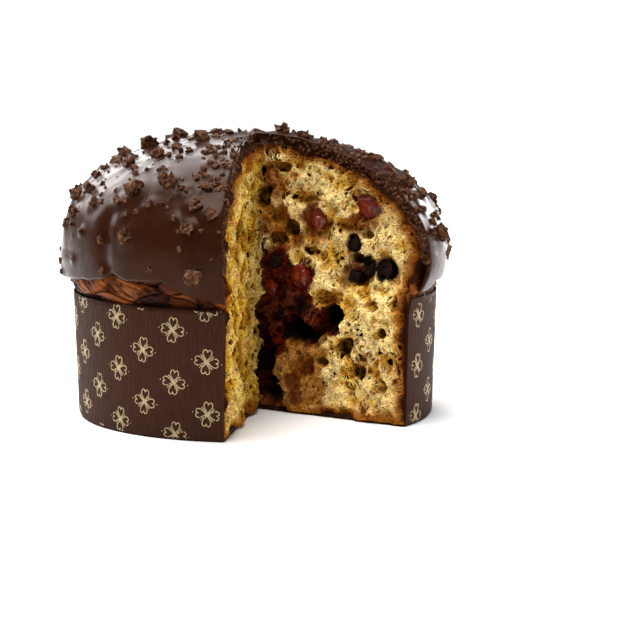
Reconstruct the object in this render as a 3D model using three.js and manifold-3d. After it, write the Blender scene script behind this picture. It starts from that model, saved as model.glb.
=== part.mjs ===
import * as THREE from 'three';
import { mergeVertices } from 'three/addons/utils/BufferGeometryUtils.js';
import { ConvexGeometry } from 'three/addons/geometries/ConvexGeometry.js';
import Module from 'manifold-3d';

// A low panettone under a chocolate glaze, in its paper case, with one wedge cut out.
// Millimetres, +Z up. The origin is on the underside of the case, on its axis.
// Azimuths are in degrees: 0 is the front, -Y, and 90 is +X.
// The polar angle of the dome runs from 0 at the top over 90 at its widest to 180 at the case's rim.

const wasm = await Module();
wasm.setup();

// Paper case
const CASE_BASE_RADIUS = 100.5;
const CASE_RIM_RADIUS = 102.5;
const CASE_HEIGHT = 70;
const PAPER = 0.7;

// Dome: the outer face of the glaze, and of the crust below it
const DOME_RADIUS = 108.3;
const DOME_LEAN = 1.05; // the fuller side stands out by this much, the other side in
const DOME_POWER = 2.12; // 2 is an ellipse, more is squarer
const DOME_POWER_SWING = 0.18;
const FULL_SIDE = -100;
const EQUATOR_HEIGHT = 95;
const DOME_RISE = 62;
const DOME_FALL = 24.4; // from the equator down to the case's rim
const DOME_TUCK = 7.3; // how far the overhang draws in on the way

// Glaze
const GLAZE_TOP = 5;
const GLAZE_SIDE = 2.4;
const GLAZE_EDGE = 1.2;
const CREASE = { azimuth: 313, width: 2.6, depth: 1.5, from: 55, to: 118 };
// The lower edge: azimuth and polar angle of its turns on the two sides that show
const GLAZE_EDGE_TURNS = [
  [60, 160], [65, 161], [71, 137], [85, 142], [92, 126],
  [270, 128], [286, 130], [298, 125], [311, 121], [316, 110], [321, 119], [333, 116], [336, 127], [342, 143],
  [351.2, 155],
];
const EDGE_WAVE = 5; // on the side between them

// The wedge cut out, from the left cut round the front to the right cut
const LEFT_CUT = 351.2;
const LEFT_CUT_FLARE = 1.1; // the case opens this much more at its foot
const RIGHT_CUT = 60;
const RIGHT_CUT_LOW = 54;
const RIGHT_CUT_TURN = [60, 88]; // heights between which the right cut swings from low to high

const GAP = 0.3;
const SKIN_GAP = 0.6;

// Chocolate chunks on the glaze: azimuth, polar angle and size of those that show singly
const CHUNKS_SHOWN = [
  [319, 59, 10], [329, 53, 10.9], [336, 57, 6.8], [342, 64, 8], [347, 69, 8], [322, 81, 8.9],
  [341, 76, 8.1], [336, 72, 5.8], [343, 106, 10.5], [285, 120, 5], [288, 73, 8.1], [302, 67, 6.8],
  [314, 65, 7], [291, 61, 7.8], [300, 44, 7.8], [310, 36, 8.7], [295, 26, 6.1], [310, 28, 6.2],
  [327, 65, 5.8], [313, 18, 8.9], [341, 34, 5.9], [341, 48, 5.2], [344, 56, 6.6], [323, 46, 5.3],
  [81, 34, 5.1], [77, 39, 7.6], [65, 51, 8.2], [69, 61, 7], [77, 62, 7.3],
  [282, 30, 10.6], [270, 9, 7.4], [278, 38, 6.4], [281, 43, 7.4], [284, 53, 5.8], [283, 80, 6.4], [295, 39, 5],
  [305, 20, 5.2], [302, 7, 5.3], [317, 36, 5], [324, 31, 5], [344, 21, 4.8], [331, 26, 5], [284, 21, 5.4],
  [70, 16, 8], [67, 24, 6.4], [73, 28, 5], [79, 46, 5],
];
const CHUNK_COUNT = 136;
const CHUNK_SIZE = [4.6, 11.5];
const CHUNK_SINK = 1.4;
const CHUNK_POINTS = 9;
const CHUNK_SEED = 20417;

// What shows in the right cut: distance from the axis, height, width, height and thickness
const FRUIT = [
  [71, 119, 16, 14, 10], [40, 110, 10, 12.5, 8], [29, 77.5, 11, 14, 9], [9, 70, 9, 11, 7],
];
const CHOCOLATE = [
  [63, 98, 8, 10, 8], [82, 85, 9, 11, 8], [72.5, 84, 7, 10, 7], [63, 79.5, 9, 6, 6], [13, 86, 9, 8, 7],
];
const BURIED = 0.18; // the share of an inclusion's thickness that its centre lies behind the cut

// Hollows in the cuts: distance from the axis, height, radius and depth
const RIGHT_HOLLOWS = [
  [55, 62, 8, 3], [45, 68, 4, 4], [49, 54, 5, 4.5], [26, 48, 9, 4.5], [30, 60, 6, 3], [8, 29, 6, 5],
  [6, 138, 5, 4], [13, 113, 7, 2.5], [24, 105, 4, 3], [21, 124, 5, 3], [96, 58, 4, 3], [82, 50, 4, 2.5],
];
const LEFT_HOLLOWS = [
  [58, 95, 4, 5], [55, 106, 9, 3], [52, 58, 7, 2.5], [82, 72, 5, 2], [36, 118, 6, 2.5], [5, 40, 8, -5],
];
const CRUMB_RELIEF = 0.9;

const { degToRad, lerp, smoothstep } = THREE.MathUtils;
const sin = (degrees) => Math.sin(degToRad(degrees));
const cos = (degrees) => Math.cos(degToRad(degrees));

// Same draws on every run
function seededRandom(seed) {
  let state = seed;
  return () => {
    state = (state + 0x6d2b79f5) | 0;
    let mixed = Math.imul(state ^ (state >>> 15), state | 1);
    mixed = (mixed + Math.imul(mixed ^ (mixed >>> 7), mixed | 61)) ^ mixed;
    return ((mixed ^ (mixed >>> 14)) >>> 0) / 4294967296;
  };
}

const around = (r, azimuth, z) => new THREE.Vector3(r * sin(azimuth), -r * cos(azimuth), z);
// The level direction of growing azimuth
const sideways = (azimuth) => new THREE.Vector3(cos(azimuth), sin(azimuth), 0);

const rightCut = (z) => lerp(RIGHT_CUT_LOW, RIGHT_CUT, smoothstep(z, ...RIGHT_CUT_TURN));
const leftCut = (z) => LEFT_CUT - LEFT_CUT_FLARE * Math.max(0, 1 - z / CASE_HEIGHT);

const fullness = (azimuth) => cos(azimuth - FULL_SIDE);

// How far the surface stands proud of the plain dome
function swell(azimuth, polar) {
  const waves = 1.0 * sin(3 * azimuth + 1.7 * polar + 40)
    + 0.6 * sin(5 * azimuth - 3.1 * polar + 110)
    + 0.4 * sin(8 * azimuth + 4.3 * polar + 200);
  const across = (azimuth - CREASE.azimuth) / CREASE.width;
  const along = smoothstep(polar, CREASE.from, CREASE.from + 20) * (1 - smoothstep(polar, CREASE.to - 15, CREASE.to));
  return waves * sin(polar) - CREASE.depth * along * Math.exp(-across * across);
}

// Radius and height of the dome, or of a surface inset from it
function dome(azimuth, polar, inset = 0) {
  const radius = DOME_RADIUS + DOME_LEAN * fullness(azimuth);
  const proud = swell(azimuth, polar) - inset;
  if (polar <= 90) {
    const power = 2 / (DOME_POWER + DOME_POWER_SWING * fullness(azimuth));
    const r = radius * sin(polar) ** power;
    const z = EQUATOR_HEIGHT + DOME_RISE * Math.max(0, cos(polar)) ** power;
    return [Math.max(0, r + proud * sin(polar)), z + proud * cos(polar)];
  }
  const below = polar - 90;
  const r = radius - DOME_TUCK * (1 - cos(below));
  const z = EQUATOR_HEIGHT - DOME_FALL * sin(below);
  return [r + proud * cos(below / 2), z - proud * sin(below / 2)];
}

const glazeThickness = (polar) => GLAZE_TOP
  - (GLAZE_TOP - GLAZE_SIDE) * smoothstep(polar, 40, 110)
  - (GLAZE_SIDE - GLAZE_EDGE) * smoothstep(polar, 110, 165);

// Polar angle of the glaze's lower edge
function glazeEdge(azimuth) {
  const turns = GLAZE_EDGE_TURNS;
  if (azimuth <= turns[0][0]) return turns[0][1];
  for (let i = 1; i < turns.length; i += 1) {
    const [from, start] = turns[i - 1];
    const [to, end] = turns[i];
    if (azimuth > to) continue;
    const share = (azimuth - from) / (to - from);
    const hidden = to - from > 90 ? EDGE_WAVE * sin(180 * share) * sin(9 * azimuth + 60 * sin(2 * azimuth)) : 0;
    return lerp(start, end, share) + hidden;
  }
  return turns.at(-1)[1];
}

// The crust draws back from the glaze beside the right cut, and folds where the glaze leaves it bare
function crustInset(azimuth, polar) {
  const bare = smoothstep(polar - glazeEdge(azimuth), 3, 12);
  const folds = 0.6 * sin(11 * azimuth + 3 * polar) + 0.4 * sin(19 * azimuth - 5 * polar);
  const drawnBack = 3.2 * smoothstep(polar, 92, 110) * (1 - smoothstep(polar, 140, 165))
    * (1 - smoothstep(azimuth, 62, 74)) * smoothstep(azimuth, 40, 50);
  return glazeThickness(polar) + SKIN_GAP + drawnBack - bare * folds;
}

function geometryOf(positions, triangles) {
  const geometry = new THREE.BufferGeometry();
  geometry.setAttribute('position', new THREE.Float32BufferAttribute(positions, 3));
  geometry.setIndex(triangles);
  return geometry;
}

function toSolid(geometry) {
  const bare = geometry.clone();
  for (const name of ['normal', 'uv']) bare.deleteAttribute(name);
  const merged = mergeVertices(bare, 1e-4);
  const vertProperties = Float32Array.from(merged.attributes.position.array);
  const corners = merged.index.array;
  const triVerts = [];
  for (let i = 0; i < corners.length; i += 3) {
    const [a, b, c] = corners.slice(i, i + 3);
    if (a !== b && b !== c && c !== a) triVerts.push(a, b, c);
  }
  return new wasm.Manifold(new wasm.Mesh({ numProp: 3, vertProperties, triVerts: Uint32Array.from(triVerts) }));
}

function fromSolid(solid) {
  const mesh = solid.getMesh();
  return geometryOf(Array.from(mesh.vertProperties), Array.from(mesh.triVerts));
}

// Azimuths of the meridians, closer together where the glaze's edge and the crust show
function meridians(from, to) {
  const fine = 282;
  const list = [];
  for (let azimuth = from; azimuth < to - 1; azimuth += azimuth < fine ? 6.6 : 3.4) list.push(azimuth);
  return [...list, to];
}

// A closed outline in the half plane of radius and height, swept round between two cuts.
// outlineAt gives it for an azimuth, and cutAt the first and last azimuth at a height.
function sweep(azimuths, outlineAt, cutAt) {
  const first = azimuths[0];
  const last = azimuths.at(-1);
  const positions = [];
  const triangles = [];
  const outlines = azimuths.map(outlineAt);
  const count = outlines[0].length;
  outlines.forEach((outline, k) => outline.forEach(([r, z]) => {
    const share = (azimuths[k] - first) / (last - first);
    const [start, end] = cutAt(z);
    positions.push(...around(r, azimuths[k] + lerp(start - first, end - last, share), z));
  }));
  for (let k = 0; k + 1 < outlines.length; k += 1) {
    for (let i = 0; i < count; i += 1) {
      const j = (i + 1) % count;
      const [a, b, c, d] = [k * count + i, k * count + j, (k + 1) * count + i, (k + 1) * count + j];
      triangles.push(a, b, c, b, d, c);
    }
  }
  const capOf = (outline) => THREE.ShapeUtils.triangulateShape(outline.map(([r, z]) => new THREE.Vector2(r, z)), []);
  const lastStart = (outlines.length - 1) * count;
  for (const [a, b, c] of capOf(outlines[0])) triangles.push(a, b, c);
  for (const [a, b, c] of capOf(outlines.at(-1))) triangles.push(lastStart + a, lastStart + c, lastStart + b);
  return toSolid(geometryOf(positions, triangles));
}

// The whole loaf before the cut
function wholeCrumb() {
  const floor = PAPER + GAP;
  const wallAt = (z) => lerp(CASE_BASE_RADIUS, CASE_RIM_RADIUS, z / CASE_HEIGHT) - PAPER - GAP - 0.2;
  const polars = [0, 14, 28, 42, 56, 70, 84, 98, 108, 118, 128, 138, 150, 164, 180];
  const inTheWedge = [8, 22, 38, 52].map((azimuth) => azimuth + 360);
  const azimuths = [...meridians(RIGHT_CUT, LEFT_CUT), ...inTheWedge];
  const positions = [];
  const triangles = [];
  const rows = polars.length + 3;
  for (const azimuth of azimuths) {
    for (const polar of polars) {
      const [r, z] = dome(azimuth % 360, polar, crustInset(azimuth % 360, polar));
      positions.push(...around(r, azimuth, z));
    }
    const foot = CASE_HEIGHT - 4;
    for (const [r, z] of [[wallAt(foot), foot], [wallAt(floor), floor], [0, floor]]) positions.push(...around(r, azimuth, z));
  }
  azimuths.forEach((_, k) => {
    const here = k * rows;
    const next = ((k + 1) % azimuths.length) * rows;
    for (let i = 0; i + 1 < rows; i += 1) {
      triangles.push(here + i, here + i + 1, next + i, here + i + 1, next + i + 1, next + i);
    }
  });
  return toSolid(geometryOf(positions, triangles));
}

// How far a cut face stands proud of its plane: crags all over, and the hollows
function faceRelief(r, z, hollows, phase) {
  const crags = CRUMB_RELIEF * (Math.sin(0.21 * r + 0.13 * z + phase) * 0.8
    + Math.sin(0.33 * z - 0.17 * r + 2 * phase) * 0.6
    + Math.sin(0.45 * r + 0.38 * z + 3 * phase) * 0.5);
  const holes = hollows.reduce((sum, [atR, atZ, radius, depth]) => {
    const away = Math.hypot(r - atR, z - atZ) / radius;
    return sum + depth * Math.exp(-1.4 * away ** 4);
  }, 0);
  return (crags - holes) * smoothstep(r, 0, 9);
}

// The axis wanders where the two cuts meet
const seam = (z) => new THREE.Vector3(1.6 * Math.sin(0.09 * z + 1) + 0.8 * Math.sin(0.31 * z), 0, z);

// A point of a cut, proud of its plane by some amount. side is -1 for the right cut and 1 for the left.
function cutPoint(r, z, side, proud) {
  const azimuth = side < 0 ? rightCut(z) : leftCut(z);
  const drift = seam(z).setZ(0).multiplyScalar(1 - smoothstep(r, 0, 16));
  return around(r, azimuth, z).add(drift).addScaledVector(sideways(azimuth), side * proud);
}

// The air of the wedge, bounded by the two craggy faces
function wedge() {
  const radial = 22;
  const upright = 28;
  const reach = 114;
  const radii = [...Array(radial).keys()].map((i) => (reach * i) / (radial - 1)).concat(132);
  const heights = [-8, ...[...Array(upright).keys()].map((i) => (160 * i) / (upright - 1)), 176];
  const columns = radii.length;
  const rows = heights.length;
  const positions = [];
  for (const [side, hollows, phase] of [[-1, RIGHT_HOLLOWS, 0.7], [1, LEFT_HOLLOWS, 2.3]]) {
    for (const z of heights) {
      for (const r of radii) positions.push(...cutPoint(r, z, side, faceRelief(r, z, hollows, phase)));
    }
  }
  const right = (i, j) => j * columns + i;
  const left = (i, j) => columns * rows + j * columns + i;
  const triangles = [];
  const quad = (a, b, c, d) => triangles.push(a, c, b, a, d, c);
  for (let j = 0; j + 1 < rows; j += 1) {
    for (let i = 0; i + 1 < columns; i += 1) {
      quad(right(i, j), right(i + 1, j), right(i + 1, j + 1), right(i, j + 1));
      quad(left(i, j), left(i, j + 1), left(i + 1, j + 1), left(i + 1, j));
    }
    const out = columns - 1;
    quad(right(out, j), left(out, j), left(out, j + 1), right(out, j + 1));
  }
  for (let i = 0; i + 1 < columns; i += 1) {
    const top = rows - 1;
    quad(right(i, 0), left(i, 0), left(i + 1, 0), right(i + 1, 0));
    quad(right(i, top), right(i + 1, top), left(i + 1, top), left(i, top));
  }
  return toSolid(geometryOf(positions, triangles));
}

function glazeShell() {
  const outer = [0, 11, 22, 33, 44, 55, 66, 77, 88, 98];
  const inner = [0, 14, 28, 42, 56, 70, 84, 98];
  const lowShares = [0.3, 0.65, 1];
  const outlineAt = (azimuth) => {
    const edge = glazeEdge(azimuth);
    const low = lowShares.map((share) => lerp(98, edge, share));
    const outside = [...outer, ...low].map((polar) => dome(azimuth, polar, polar === edge ? GLAZE_EDGE / 2 : 0));
    const inside = [...inner, ...low].map((polar) => dome(azimuth, polar, glazeThickness(polar)));
    return [...outside, ...inside.reverse()];
  };
  return sweep(meridians(RIGHT_CUT, LEFT_CUT), outlineAt, () => [RIGHT_CUT, LEFT_CUT]);
}

// Where a chunk lies: the dome's point and outward direction
function seat(azimuth, polar) {
  const step = 1;
  const at = (turn, tilt) => around(...((p) => [p[0], turn, p[1]])(dome(turn, tilt)));
  const downhill = at(azimuth, polar + step).sub(at(azimuth, Math.max(0.5, polar - step)));
  const across = sideways(azimuth);
  return { point: at(azimuth, polar), outward: downhill.clone().cross(across).normalize(), across };
}

// Chunks drawn at random beside the listed ones: close together on top, and few on the flanks
function scatterChunks(random) {
  const placed = CHUNKS_SHOWN.map(([azimuth, polar, size]) => ({ azimuth, polar, size, ...seat(azimuth, polar) }));
  while (placed.length < CHUNK_COUNT) {
    const azimuth = lerp(RIGHT_CUT, LEFT_CUT, random());
    const polar = THREE.MathUtils.radToDeg(Math.acos(1 - 1.3 * random()));
    const size = lerp(...CHUNK_SIZE, random() ** 2.2);
    const wanted = random() < lerp(1, 0.12, smoothstep(polar, 35, 100));
    const listed = azimuth > 282 && polar > 16;
    if (!wanted || listed) continue;
    const { point, outward, across } = seat(azimuth, polar);
    const fromCuts = Math.min(
      Math.hypot(point.x, point.y) * sin(Math.min(90, azimuth - RIGHT_CUT)),
      Math.hypot(point.x, point.y) * sin(Math.min(90, LEFT_CUT - azimuth)),
    );
    if (fromCuts < 0.62 * size) continue;
    if (placed.some((other) => other.point.distanceTo(point) < 0.55 * (other.size + size))) continue;
    placed.push({ azimuth, polar, size, point, outward, across });
  }
  return placed;
}

// A broken piece with flat facets: the hull of points on an uneven ball
function brokenPiece(width, height, thickness, points, random) {
  const corners = [];
  for (let i = 0; i < points; i += 1) {
    const level = 1 - (2 * (i + 0.5)) / points;
    const turn = 2.4 * i + 0.7 * random();
    const reach = lerp(0.84, 1.08, random());
    const ring = Math.sqrt(1 - level * level) * reach;
    corners.push(new THREE.Vector3(
      0.5 * width * ring * Math.cos(turn),
      0.5 * height * ring * Math.sin(turn),
      0.5 * thickness * level * reach,
    ));
  }
  return new ConvexGeometry(corners);
}

function chunkSolid({ size, point, outward, across }, random) {
  const thickness = size * lerp(0.55, 0.75, random());
  const geometry = brokenPiece(size, size * lerp(0.7, 0.95, random()), thickness, CHUNK_POINTS, random);
  geometry.rotateZ(2 * Math.PI * random());
  const along = outward.clone().cross(across);
  const lift = point.clone().addScaledVector(outward, thickness / 2 - CHUNK_SINK);
  geometry.applyMatrix4(new THREE.Matrix4().makeBasis(across, along, outward).setPosition(lift));
  return toSolid(geometry);
}

// A piece half buried in the right cut, enlarged all round by a gap where it cuts its socket
function inclusion([r, z, width, height, thickness], shape, grow = 0) {
  const azimuth = rightCut(z);
  const inward = sideways(azimuth);
  const outline = around(1, azimuth, 0);
  const geometry = shape(r).scale(width + 2 * grow, height + 2 * grow, thickness + 2 * grow);
  const proud = faceRelief(r, z, RIGHT_HOLLOWS, 0.7);
  const centre = cutPoint(r, z, -1, proud).addScaledVector(inward, BURIED * thickness);
  const up = new THREE.Vector3(0, 0, 1);
  geometry.applyMatrix4(new THREE.Matrix4().makeBasis(outline, up, outline.clone().cross(up)).setPosition(centre));
  return toSolid(geometry);
}

// Both shapes are about 1 across, and the seed tells their copies apart
function fruitShape(seed) {
  const geometry = new THREE.IcosahedronGeometry(0.5, 1);
  const place = geometry.attributes.position;
  for (let i = 0; i < place.count; i += 1) {
    const [x, y, z] = [place.getX(i), place.getY(i), place.getZ(i)];
    const pucker = 1 + 0.16 * Math.sin(7 * x + seed) * Math.cos(6 * y + 4 * z);
    place.setXYZ(i, x * pucker, y * pucker, z);
  }
  return geometry;
}

const chocolateShape = (seed) => brokenPiece(1, 1, 1, 11, seededRandom(seed));

function paperCase() {
  const outline = [
    [0, 0], [CASE_BASE_RADIUS, 0], [CASE_RIM_RADIUS, CASE_HEIGHT],
    [CASE_RIM_RADIUS - PAPER, CASE_HEIGHT], [CASE_BASE_RADIUS - PAPER, PAPER], [0, PAPER],
  ];
  return sweep(meridians(RIGHT_CUT, LEFT_CUT), () => [...outline].reverse(), (z) => [rightCut(z), leftCut(z)]);
}

const model = new THREE.Group();

function add(name, solid, color, roughness) {
  const material = new THREE.MeshStandardMaterial({ color, roughness, metalness: 0, flatShading: true });
  const mesh = new THREE.Mesh(fromSolid(solid), material);
  mesh.name = name;
  model.add(mesh);
}

const insets = [
  ...FRUIT.map((place, i) => [`candied_fruit_${i + 1}`, place, fruitShape, 0x7d1d12, 0.25]),
  ...CHOCOLATE.map((place, i) => [`chocolate_piece_${i + 1}`, place, chocolateShape, 0x2a150f, 0.45]),
];

let crumb = wholeCrumb().subtract(wedge());
for (const [, place, shape] of insets) crumb = crumb.subtract(inclusion(place, shape, GAP));
add('crumb', crumb, 0xe3b765, 0.9);

const random = seededRandom(CHUNK_SEED);
const glaze = scatterChunks(random).reduce((solid, chunk) => solid.add(chunkSolid(chunk, random)), glazeShell());
add('glaze', glaze, 0x33201a, 0.3);

for (const [name, place, shape, color, roughness] of insets) add(name, inclusion(place, shape), color, roughness);
add('paper_case', paperCase(), 0x3a211a, 0.7);

export default model;
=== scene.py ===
import bpy
import itertools
import math
import openvdb
import numpy as np
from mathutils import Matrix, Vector


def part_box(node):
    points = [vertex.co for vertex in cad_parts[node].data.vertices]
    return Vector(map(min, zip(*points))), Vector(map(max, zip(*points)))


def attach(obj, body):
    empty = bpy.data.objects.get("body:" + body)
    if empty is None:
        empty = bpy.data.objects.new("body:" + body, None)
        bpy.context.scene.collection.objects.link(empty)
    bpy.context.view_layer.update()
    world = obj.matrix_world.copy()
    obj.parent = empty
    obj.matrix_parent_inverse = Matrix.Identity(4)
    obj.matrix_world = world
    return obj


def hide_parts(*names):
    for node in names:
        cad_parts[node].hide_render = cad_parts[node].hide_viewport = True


# A low panettone under a chocolate glaze, in its paper case, with one wedge cut out.
# Lengths are in millimetres until a mesh is made. Azimuths are in degrees: 0 is the front, -Y, and 90 is +X.
# The polar angle of the dome runs from 0 at the top over 90 at its widest to 180 inside the case's rim.

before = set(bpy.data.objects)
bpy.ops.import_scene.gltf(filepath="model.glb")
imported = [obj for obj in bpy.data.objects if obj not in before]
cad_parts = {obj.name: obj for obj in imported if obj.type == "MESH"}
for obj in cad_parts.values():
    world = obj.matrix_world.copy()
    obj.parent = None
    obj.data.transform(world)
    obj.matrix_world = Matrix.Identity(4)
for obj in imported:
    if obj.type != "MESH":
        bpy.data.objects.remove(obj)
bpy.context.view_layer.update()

MM = 0.001
case_low, case_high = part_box("paper_case")
CASE_HEIGHT = (case_high.z - case_low.z) / MM
CASE_RIM_RADIUS = (case_high.x - case_low.x) / 2 / MM
CASE_BASE_RADIUS = CASE_RIM_RADIUS - 2
PAPER = 0.7
# How far the loaf's foot stays inside the case's wall and over its base
FOOT_GAP = 0.5
FOOT_RISE = 0.4

# The dome, as in the solids
DOME_RADIUS = 108.3
DOME_LEAN = 1.05
DOME_POWER = 2.12
DOME_POWER_SWING = 0.18
FULL_SIDE = -100
EQUATOR_HEIGHT = 95
DOME_RISE = 62
DOME_FALL = 24.4
DOME_TUCK = 7.3
CREASE_AZIMUTH = 313
CREASE_WIDTH = 2.6
CREASE_DEPTH = 1.5
GLAZE_TOP = 5
GLAZE_SIDE = 2.4
GLAZE_EDGE = 1.2
GLAZE_EDGE_TURNS = np.array([
    (60, 160), (65, 161), (71, 137), (85, 142), (92, 126), (270, 128), (286, 130), (298, 125),
    (311, 121), (316, 110), (321, 119), (333, 116), (336, 127), (342, 143), (351.2, 155),
])
EDGE_WAVE = 5
HIDDEN_EDGE = (92, 270)
SKIN_GAP = 0.6

# The wedge cut out
LEFT_CUT = 351.2
LEFT_CUT_FLARE = 1.1
RIGHT_CUT = 60
RIGHT_CUT_LOW = 54
RIGHT_CUT_TURN = (60, 88)
RIGHT, LEFT = -1, 1
RIGHT_HOLLOWS = [
    (55, 62, 8, 3), (45, 68, 4, 4), (49, 54, 5, 4.5), (26, 48, 9, 4.5), (30, 60, 6, 3), (8, 29, 6, 5),
    (6, 138, 5, 4), (13, 113, 7, 2.5), (24, 105, 4, 3), (21, 124, 5, 3), (96, 58, 4, 3), (82, 50, 4, 2.5),
]
LEFT_HOLLOWS = [
    (58, 95, 4, 5), (55, 106, 9, 3), (52, 58, 7, 2.5), (82, 72, 5, 2), (36, 118, 6, 2.5), (5, 40, 8, -5),
]
CRUMB_RELIEF = 0.9

# Chocolate chunks, as in the solids
CHUNKS_SHOWN = [
    (319, 59, 10), (329, 53, 10.9), (336, 57, 6.8), (342, 64, 8), (347, 69, 8), (322, 81, 8.9),
    (341, 76, 8.1), (336, 72, 5.8), (343, 106, 10.5), (285, 120, 5), (288, 73, 8.1), (302, 67, 6.8),
    (314, 65, 7), (291, 61, 7.8), (300, 44, 7.8), (310, 36, 8.7), (295, 26, 6.1), (310, 28, 6.2),
    (327, 65, 5.8), (313, 18, 8.9), (341, 34, 5.9), (341, 48, 5.2), (344, 56, 6.6), (323, 46, 5.3),
    (81, 34, 5.1), (77, 39, 7.6), (65, 51, 8.2), (69, 61, 7), (77, 62, 7.3),
    (282, 30, 10.6), (270, 9, 7.4), (278, 38, 6.4), (281, 43, 7.4), (284, 53, 5.8), (283, 80, 6.4),
    (295, 39, 5), (305, 20, 5.2), (302, 7, 5.3), (317, 36, 5), (324, 31, 5), (344, 21, 4.8), (331, 26, 5),
    (284, 21, 5.4), (70, 16, 8), (67, 24, 6.4), (73, 28, 5), (79, 46, 5),
]
CHUNK_COUNT = 136
CHUNK_SIZE = (4.6, 11.5)
CHUNK_SINK = 1.4
CHUNK_FROM_CUT = 0.62
CHUNK_SEED = 20417
SMALL_CHUNK_COUNT = 300
GLAZED_CHUNK_COUNT = 296
SMALL_CHUNK_SIZE = (1.6, 5.0)
EDGE_CHUNK_COUNT = 60
# Bits smeared over each cut edge of the glaze: the cut, the side that they lean to and their count
CUT_BITS = ((RIGHT_CUT, -1, 520), (LEFT_CUT, 1, 260))

# What shows in the right cut: distance from the axis and height
FRUIT = [(71, 119), (40, 110), (29, 77.5), (9, 70)]
CHOCOLATE = [(63, 98), (82, 85), (72.5, 84), (63, 79.5), (13, 86)]
# Width, height and thickness of each, as in the solids
FRUIT_SIZES = [(16, 14, 10), (10, 12.5, 8), (11, 14, 9), (9, 11, 7)]
CHOCOLATE_SIZES = [(8, 10, 8), (9, 11, 8), (7, 10, 7), (9, 6, 6), (9, 8, 7)]
# Caves in the right cut: distance from the axis, height, reach along each, depth and how much painted shade
# darkens them
CAVES = [
    (1, 136, 5, 4.5, 8, 1), (15, 139, 6.5, 3, 6, 0.8), (6, 122.5, 4.5, 7, 8, 1), (-6, 119, 4, 6, 7, 0.9),
    (23.5, 105, 6, 5.5, 6, 0.85), (72, 103, 3, 2, 4, 0.9), (52, 87, 1.8, 1.8, 5, 1), (50, 56, 8, 8.5, 9, 1),
    (26, 47, 9, 8, 9, 1), (38, 45, 6, 5, 8, 1), (5, 34, 8, 13, 10, 1), (9, 11, 9, 10, 10, 1),
    (45, 31, 4, 2.5, 4, 0.8), (84, 50, 3.5, 3, 5, 0.8), (48, 67, 11, 5, 5, 0.2), (58, 108, 6, 3.5, 4, 0.25),
    (30, 122, 8, 4, 4, 0.2), (68, 78, 5, 4, 6, 1), (86, 84, 3, 5, 6, 0.9), (66, 90, 4, 3, 5, 0.9),
    (36, 92, 5, 3, 4, 0.4), (92, 66, 3, 5, 4, 0.3), (78, 64, 5, 3, 4, 0.3), (14, 98, 5, 3.5, 5, 0.6),
    (60, 40, 6, 5, 7, 0.9), (70, 28, 5, 4, 5, 0.6), (84, 20, 4, 5, 4, 0.4),
]
# The dark red middle of the right cut, partly its own red-brown and partly painted shade of the wedge's deep
# corner by the axis
RED_AND_SHADE_ZONE = np.array([
    (-6, 86), (14, 90), (38, 81), (35, 67), (42, 61), (58, 60), (57, 48), (44, 43), (21, 44), (13, 30),
    (9, 2), (-9, -4),
])
# The amber low corner of the right cut by the axis, partly its own amber and partly painted shade of the
# wedge's deep corner
AMBER_AND_SHADE_ZONE = np.array([(10, 46), (46, 46), (44, 12), (36, 4), (10, 6)])
# Where the right cut is marbled with brown: distance from the axis, height and reach
MARBLED = [(71, 119, 17), (40, 110, 16), (10, 130, 14), (14, 108, 12), (24, 96, 8)]

# The photograph's camera
CAMERA_DISTANCE = 1100
CAMERA_HEIGHT = 202.6
CAMERA_PITCH = 7.85
CAMERA_YAW = 1.9
FOCAL_PIXELS = 1953
IMAGE_PIXELS = 640
SENSOR = 36


def sind(degrees):
    return np.sin(np.radians(degrees))


def cosd(degrees):
    return np.cos(np.radians(degrees))


def smooth(value, low, high):
    share = np.clip((value - low) / (high - low), 0, 1)
    return share * share * (3 - 2 * share)


def fade(value, low, high):
    """1 up to low, 0 from high on."""
    return 1 - smooth(value, low, high)


def unit(vector):
    return vector / np.linalg.norm(vector)


def mix(first, second, share):
    return first + (second - first) * share


def around(r, azimuth, z):
    """Points from their distance to the axis, azimuth and height."""
    return np.stack(np.broadcast_arrays(r * sind(azimuth), -r * cosd(azimuth), z), -1)


def in_plane(u, v):
    """Points of a plane, for a noise that doesn't change across it."""
    return np.stack([u, v, 0 * u], -1)


def lattice_draw(i, j, k, seed):
    """One draw from 0 to 1 for each lattice point."""
    mixed = (i * 374761393 + j * 668265263 + k * 1103515245 + seed * 974634777) & 0xFFFFFFFF
    mixed = ((mixed ^ (mixed >> 13)) * 1274126177) & 0xFFFFFFFF
    return ((mixed ^ (mixed >> 16)) & 0xFFFFFF) / 0x1000000


def value_noise(points, seed):
    """Smooth noise from -1 to 1, one unit coarse."""
    cell = np.floor(points).astype(np.int64)
    part = points - cell
    part = part * part * part * (part * (part * 6 - 15) + 10)
    total = 0
    for corner in range(8):
        steps = (corner & 1, corner >> 1 & 1, corner >> 2)
        weight = 1
        for axis, step in enumerate(steps):
            weight = weight * (part[..., axis] if step else 1 - part[..., axis])
        total = total + weight * lattice_draw(*np.moveaxis(cell + steps, -1, 0), seed)
    return 2 * total - 1


OCTAVE_SHIFT = 17.3


def fractal(points, size, octaves, seed):
    """Smooth noise of so many octaves, the first one of the given size."""
    total = 0
    for octave in range(octaves):
        finer = 2 ** octave
        total = total + value_noise(points / size * finer + OCTAVE_SHIFT * octave, seed + octave) / finer
    return total / (2 - 0.5 ** (octaves - 1))


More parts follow.
